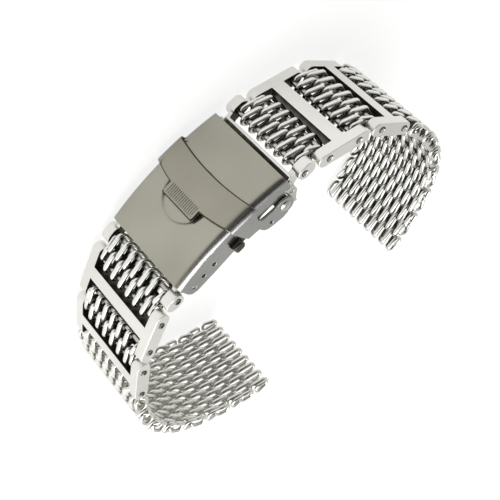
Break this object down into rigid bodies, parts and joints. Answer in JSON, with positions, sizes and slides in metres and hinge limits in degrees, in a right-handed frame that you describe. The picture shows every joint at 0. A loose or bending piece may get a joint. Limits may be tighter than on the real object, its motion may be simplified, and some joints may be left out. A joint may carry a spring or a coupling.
{
  "type": "milanese mesh bracelet",
  "caption": "Milanese mesh watch bracelet of linked wire rows and H frames, closed by an arched folding clasp with a safety flap, lying on its side edge.",
  "frame": {"origin": "middle of the bracelet's footprint, on the surface that it lies on", "axes": "+X from the folding end of the clasp to its adjusting end, +Y from the clasp towards the two open mesh ends, +Z across the band, up from the side edge it lies on"},
  "size_m": [0.0854, 0.0638, 0.0242],
  "materials": {
    "clasp_satin": "satin brushed along the band, polished side walls",
    "blade_steel": "satin",
    "frame_steel": "fine satin with polished edges",
    "wire_steel": "polished wire",
    "pin_steel": "turned and polished",
    "button_dark": "dark polished"
  },
  "bodies": {
    "clasp": {"clasp_cover": "clasp_satin", "button_springs": "pin_steel", "button_guide": "blade_steel", "adjusting_spring_bar": "pin_steel"},
    "safety_flap": {"safety_flap": "clasp_satin"},
    "middle_blade": {"middle_blade": "blade_steel", "blade_hinge_pins": "pin_steel"},
    "bottom_blade": {"bottom_blade": "blade_steel", "folding_spring_bar": "pin_steel"},
    "left_button": {"left_push_button": "button_dark"},
    "right_button": {"right_push_button": "button_dark"},
    "left_end_frame": {"left_end_frame": "frame_steel", "left_end_frame_pin": "pin_steel"},
    "left_window_row_1": {"left_window_row_1": "wire_steel"},
    "left_window_row_2": {"left_window_row_2": "wire_steel"},
    "left_near_frame": {"left_near_frame": "frame_steel", "left_near_frame_pins": "pin_steel"},
    "left_window_row_3": {"left_window_row_3": "wire_steel"},
    "left_window_row_4": {"left_window_row_4": "wire_steel"},
    "left_far_frame": {"left_far_frame": "frame_steel", "left_far_frame_pins": "pin_steel"},
    "left_strap_row_01": {"left_strap_row_01": "wire_steel"},
    "left_strap_row_02": {"left_strap_row_02": "wire_steel"},
    "left_strap_row_03": {"left_strap_row_03": "wire_steel"},
    "left_strap_row_04": {"left_strap_row_04": "wire_steel"},
    "left_strap_row_05": {"left_strap_row_05": "wire_steel"},
    "left_strap_row_06": {"left_strap_row_06": "wire_steel"},
    "left_strap_row_07": {"left_strap_row_07": "wire_steel"},
    "left_strap_row_08": {"left_strap_row_08": "wire_steel"},
    "left_strap_row_09": {"left_strap_row_09": "wire_steel"},
    "left_strap_row_10": {"left_strap_row_10": "wire_steel"},
    "left_strap_row_11": {"left_strap_row_11": "wire_steel"},
    "left_strap_row_12": {"left_strap_row_12": "wire_steel"},
    "left_strap_row_13": {"left_strap_row_13": "wire_steel"},
    "left_strap_row_14": {"left_strap_row_14": "wire_steel"},
    "left_strap_row_15": {"left_strap_row_15": "wire_steel"},
    "right_end_frame": {"right_end_frame": "frame_steel", "right_end_frame_pin": "pin_steel"},
    "right_window_row_1": {"right_window_row_1": "wire_steel"},
    "right_window_row_2": {"right_window_row_2": "wire_steel"},
    "right_near_frame": {"right_near_frame": "frame_steel", "right_near_frame_pins": "pin_steel"},
    "right_window_row_3": {"right_window_row_3": "wire_steel"},
    "right_window_row_4": {"right_window_row_4": "wire_steel"},
    "right_far_frame": {"right_far_frame": "frame_steel", "right_far_frame_pins": "pin_steel"},
    "right_strap_row_01": {"right_strap_row_01": "wire_steel"},
    "right_strap_row_02": {"right_strap_row_02": "wire_steel"},
    "right_strap_row_03": {"right_strap_row_03": "wire_steel"},
    "right_strap_row_04": {"right_strap_row_04": "wire_steel"},
    "right_strap_row_05": {"right_strap_row_05": "wire_steel"},
    "right_strap_row_06": {"right_strap_row_06": "wire_steel"},
    "right_strap_row_07": {"right_strap_row_07": "wire_steel"},
    "right_strap_row_08": {"right_strap_row_08": "wire_steel"},
    "right_strap_row_09": {"right_strap_row_09": "wire_steel"},
    "right_strap_row_10": {"right_strap_row_10": "wire_steel"},
    "right_strap_row_11": {"right_strap_row_11": "wire_steel"},
    "right_strap_row_12": {"right_strap_row_12": "wire_steel"},
    "right_strap_row_13": {"right_strap_row_13": "wire_steel"},
    "right_strap_row_14": {"right_strap_row_14": "wire_steel"}
  },
  "joints": [
    {"name": "left_button_push", "type": "slide", "parent": "clasp", "child": "left_button", "axis": [0, 0, -1], "range_m": [0, 0.0005], "stiffness_N_per_m": 400, "springref_m": -0.001},
    {"name": "right_button_push", "type": "slide", "parent": "clasp", "child": "right_button", "axis": [0, 0, 1], "range_m": [0, 0.0005], "stiffness_N_per_m": 400, "springref_m": -0.001},
    {"name": "safety_flap_open", "type": "hinge", "parent": "clasp", "child": "safety_flap", "pos_m": [-0.01069, -0.02406, 0.0121], "axis": [0, 0, -1], "range_deg": [0, 80]},
    {"name": "clasp_unfold", "type": "hinge", "parent": "clasp", "child": "middle_blade", "pos_m": [-0.01069, -0.02406, 0.0121], "axis": [0, 0, 1], "range_deg": [0, 160]},
    {"name": "bottom_blade_turn", "type": "hinge", "parent": "middle_blade", "child": "bottom_blade", "pos_m": [0.00771, -0.02383, 0.0121], "axis": [0, 0, 1], "range_deg": [-160, 0]},
    {"name": "left_end_frame_swing", "type": "hinge", "parent": "clasp", "child": "left_end_frame", "pos_m": [0.01141, -0.02576, 0.0121], "axis": [0, 0, 1], "range_deg": [-4, 25]},
    {"name": "left_window_row_1_bend", "type": "hinge", "parent": "left_end_frame", "child": "left_window_row_1", "pos_m": [0.0154, -0.02665, 0.0121], "axis": [0, 0, -1], "range_deg": [-32, 30]},
    {"name": "left_window_row_2_bend", "type": "hinge", "parent": "left_window_row_1", "child": "left_window_row_2", "pos_m": [0.01822, -0.02579, 0.0121], "axis": [0, 0, 1], "range_deg": [-22, 12]},
    {"name": "left_near_frame_swing", "type": "hinge", "parent": "left_window_row_2", "child": "left_near_frame", "pos_m": [0.02095, -0.02468, 0.0121], "axis": [0, 0, -1], "range_deg": [-27, 35]},
    {"name": "left_window_row_3_bend", "type": "hinge", "parent": "left_near_frame", "child": "left_window_row_3", "pos_m": [0.02672, -0.02065, 0.0121], "axis": [0, 0, 1], "range_deg": [-28, 34]},
    {"name": "left_window_row_4_bend", "type": "hinge", "parent": "left_window_row_3", "child": "left_window_row_4", "pos_m": [0.02895, -0.01871, 0.0121], "axis": [0, 0, -1], "range_deg": [-13, 21]},
    {"name": "left_far_frame_swing", "type": "hinge", "parent": "left_window_row_4", "child": "left_far_frame", "pos_m": [0.03103, -0.01663, 0.0121], "axis": [0, 0, 1], "range_deg": [-29, 33]},
    {"name": "left_strap_row_01_bend", "type": "hinge", "parent": "left_far_frame", "child": "left_strap_row_01", "pos_m": [0.03537, -0.01108, 0.0121], "axis": [0, 0, -1], "range_deg": [-36, 26]},
    {"name": "left_strap_row_02_bend", "type": "hinge", "parent": "left_strap_row_01", "child": "left_strap_row_02", "pos_m": [0.03702, -0.00863, 0.0121], "axis": [0, 0, 1], "range_deg": [-23.3, 10.7]},
    {"name": "left_strap_row_03_bend", "type": "hinge", "parent": "left_strap_row_02", "child": "left_strap_row_03", "pos_m": [0.03862, -0.00558, 0.0121], "axis": [0, 0, -1], "range_deg": [-10.7, 23.3]},
    {"name": "left_strap_row_04_bend", "type": "hinge", "parent": "left_strap_row_03", "child": "left_strap_row_04", "pos_m": [0.03987, -0.00236, 0.0121], "axis": [0, 0, 1], "range_deg": [-23.3, 10.7]},
    {"name": "left_strap_row_05_bend", "type": "hinge", "parent": "left_strap_row_04", "child": "left_strap_row_05", "pos_m": [0.04077, 0.00097, 0.0121], "axis": [0, 0, -1], "range_deg": [-8.3, 25.7]},
    {"name": "left_strap_row_06_bend", "type": "hinge", "parent": "left_strap_row_05", "child": "left_strap_row_06", "pos_m": [0.04115, 0.0044, 0.0121], "axis": [0, 0, 1], "range_deg": [-25.7, 8.3]},
    {"name": "left_strap_row_07_bend", "type": "hinge", "parent": "left_strap_row_06", "child": "left_strap_row_07", "pos_m": [0.04101, 0.00785, 0.0121], "axis": [0, 0, -1], "range_deg": [-8.3, 25.7]},
    {"name": "left_strap_row_08_bend", "type": "hinge", "parent": "left_strap_row_07", "child": "left_strap_row_08", "pos_m": [0.04035, 0.01123, 0.0121], "axis": [0, 0, 1], "range_deg": [-26, 8]},
    {"name": "left_strap_row_09_bend", "type": "hinge", "parent": "left_strap_row_08", "child": "left_strap_row_09", "pos_m": [0.03917, 0.01447, 0.0121], "axis": [0, 0, -1], "range_deg": [-8, 26]},
    {"name": "left_strap_row_10_bend", "type": "hinge", "parent": "left_strap_row_09", "child": "left_strap_row_10", "pos_m": [0.0375, 0.01749, 0.0121], "axis": [0, 0, 1], "range_deg": [-26, 8]},
    {"name": "left_strap_row_11_bend", "type": "hinge", "parent": "left_strap_row_10", "child": "left_strap_row_11", "pos_m": [0.03537, 0.02021, 0.0121], "axis": [0, 0, -1], "range_deg": [-11.3, 22.7]},
    {"name": "left_strap_row_12_bend", "type": "hinge", "parent": "left_strap_row_11", "child": "left_strap_row_12", "pos_m": [0.03299, 0.02271, 0.0121], "axis": [0, 0, 1], "range_deg": [-22.7, 11.3]},
    {"name": "left_strap_row_13_bend", "type": "hinge", "parent": "left_strap_row_12", "child": "left_strap_row_13", "pos_m": [0.03037, 0.02495, 0.0121], "axis": [0, 0, -1], "range_deg": [-11.3, 22.7]},
    {"name": "left_strap_row_14_bend", "type": "hinge", "parent": "left_strap_row_13", "child": "left_strap_row_14", "pos_m": [0.02755, 0.02693, 0.0121], "axis": [0, 0, 1], "range_deg": [-19.3, 14.7]},
    {"name": "left_strap_row_15_bend", "type": "hinge", "parent": "left_strap_row_14", "child": "left_strap_row_15", "pos_m": [0.02464, 0.0288, 0.0121], "axis": [0, 0, -1], "range_deg": [-14.7, 19.3]},
    {"name": "right_end_frame_swing", "type": "hinge", "parent": "bottom_blade", "child": "right_end_frame", "pos_m": [-0.01339, -0.02497, 0.0121], "axis": [0, 0, -1], "range_deg": [-4, 25]},
    {"name": "right_window_row_1_bend", "type": "hinge", "parent": "right_end_frame", "child": "right_window_row_1", "pos_m": [-0.01726, -0.02626, 0.0121], "axis": [0, 0, 1], "range_deg": [-19, 43]},
    {"name": "right_window_row_2_bend", "type": "hinge", "parent": "right_window_row_1", "child": "right_window_row_2", "pos_m": [-0.01996, -0.02506, 0.0121], "axis": [0, 0, -1], "range_deg": [-23, 11]},
    {"name": "right_near_frame_swing", "type": "hinge", "parent": "right_window_row_2", "child": "right_near_frame", "pos_m": [-0.02251, -0.02359, 0.0121], "axis": [0, 0, 1], "range_deg": [-44, 18]},
    {"name": "right_window_row_3_bend", "type": "hinge", "parent": "right_near_frame", "child": "right_window_row_3", "pos_m": [-0.02884, -0.0205, 0.0121], "axis": [0, 0, -1], "range_deg": [-28, 34]},
    {"name": "right_window_row_4_bend", "type": "hinge", "parent": "right_window_row_3", "child": "right_window_row_4", "pos_m": [-0.03134, -0.01894, 0.0121], "axis": [0, 0, 1], "range_deg": [-7, 27]},
    {"name": "right_far_frame_swing", "type": "hinge", "parent": "right_window_row_4", "child": "right_far_frame", "pos_m": [-0.03353, -0.01697, 0.0121], "axis": [0, 0, -1], "range_deg": [-37, 25]},
    {"name": "right_strap_row_01_bend", "type": "hinge", "parent": "right_far_frame", "child": "right_strap_row_01", "pos_m": [-0.03737, -0.01106, 0.0121], "axis": [0, 0, 1], "range_deg": [-34, 28]},
    {"name": "right_strap_row_02_bend", "type": "hinge", "parent": "right_strap_row_01", "child": "right_strap_row_02", "pos_m": [-0.03871, -0.00843, 0.0121], "axis": [0, 0, -1], "range_deg": [-23.7, 10.3]},
    {"name": "right_strap_row_03_bend", "type": "hinge", "parent": "right_strap_row_02", "child": "right_strap_row_03", "pos_m": [-0.03991, -0.0052, 0.0121], "axis": [0, 0, 1], "range_deg": [-10.3, 23.7]},
    {"name": "right_strap_row_04_bend", "type": "hinge", "parent": "right_strap_row_03", "child": "right_strap_row_04", "pos_m": [-0.04072, -0.00185, 0.0121], "axis": [0, 0, -1], "range_deg": [-23.7, 10.3]},
    {"name": "right_strap_row_05_bend", "type": "hinge", "parent": "right_strap_row_04", "child": "right_strap_row_05", "pos_m": [-0.04114, 0.00158, 0.0121], "axis": [0, 0, 1], "range_deg": [-8.3, 25.7]},
    {"name": "right_strap_row_06_bend", "type": "hinge", "parent": "right_strap_row_05", "child": "right_strap_row_06", "pos_m": [-0.04104, 0.00503, 0.0121], "axis": [0, 0, -1], "range_deg": [-25.7, 8.3]},
    {"name": "right_strap_row_07_bend", "type": "hinge", "parent": "right_strap_row_06", "child": "right_strap_row_07", "pos_m": [-0.04042, 0.00842, 0.0121], "axis": [0, 0, 1], "range_deg": [-8.3, 25.7]},
    {"name": "right_strap_row_08_bend", "type": "hinge", "parent": "right_strap_row_07", "child": "right_strap_row_08", "pos_m": [-0.0393, 0.01168, 0.0121], "axis": [0, 0, -1], "range_deg": [-26, 8]},
    {"name": "right_strap_row_09_bend", "type": "hinge", "parent": "right_strap_row_08", "child": "right_strap_row_09", "pos_m": [-0.03768, 0.01473, 0.0121], "axis": [0, 0, 1], "range_deg": [-8, 26]},
    {"name": "right_strap_row_10_bend", "type": "hinge", "parent": "right_strap_row_09", "child": "right_strap_row_10", "pos_m": [-0.0356, 0.01748, 0.0121], "axis": [0, 0, -1], "range_deg": [-26, 8]},
    {"name": "right_strap_row_11_bend", "type": "hinge", "parent": "right_strap_row_10", "child": "right_strap_row_11", "pos_m": [-0.03312, 0.01988, 0.0121], "axis": [0, 0, 1], "range_deg": [-10.7, 23.3]},
    {"name": "right_strap_row_12_bend", "type": "hinge", "parent": "right_strap_row_11", "child": "right_strap_row_12", "pos_m": [-0.03039, 0.02199, 0.0121], "axis": [0, 0, -1], "range_deg": [-23.3, 10.7]},
    {"name": "right_strap_row_13_bend", "type": "hinge", "parent": "right_strap_row_12", "child": "right_strap_row_13", "pos_m": [-0.02744, 0.02378, 0.0121], "axis": [0, 0, 1], "range_deg": [-10.7, 23.3]},
    {"name": "right_strap_row_14_bend", "type": "hinge", "parent": "right_strap_row_13", "child": "right_strap_row_14", "pos_m": [-0.02432, 0.02524, 0.0121], "axis": [0, 0, -1], "range_deg": [-20.7, 13.3]}
  ],
  "couplings": [
    {"joint": "bottom_blade_turn", "follows": "clasp_unfold", "ratio": -1}
  ]
}
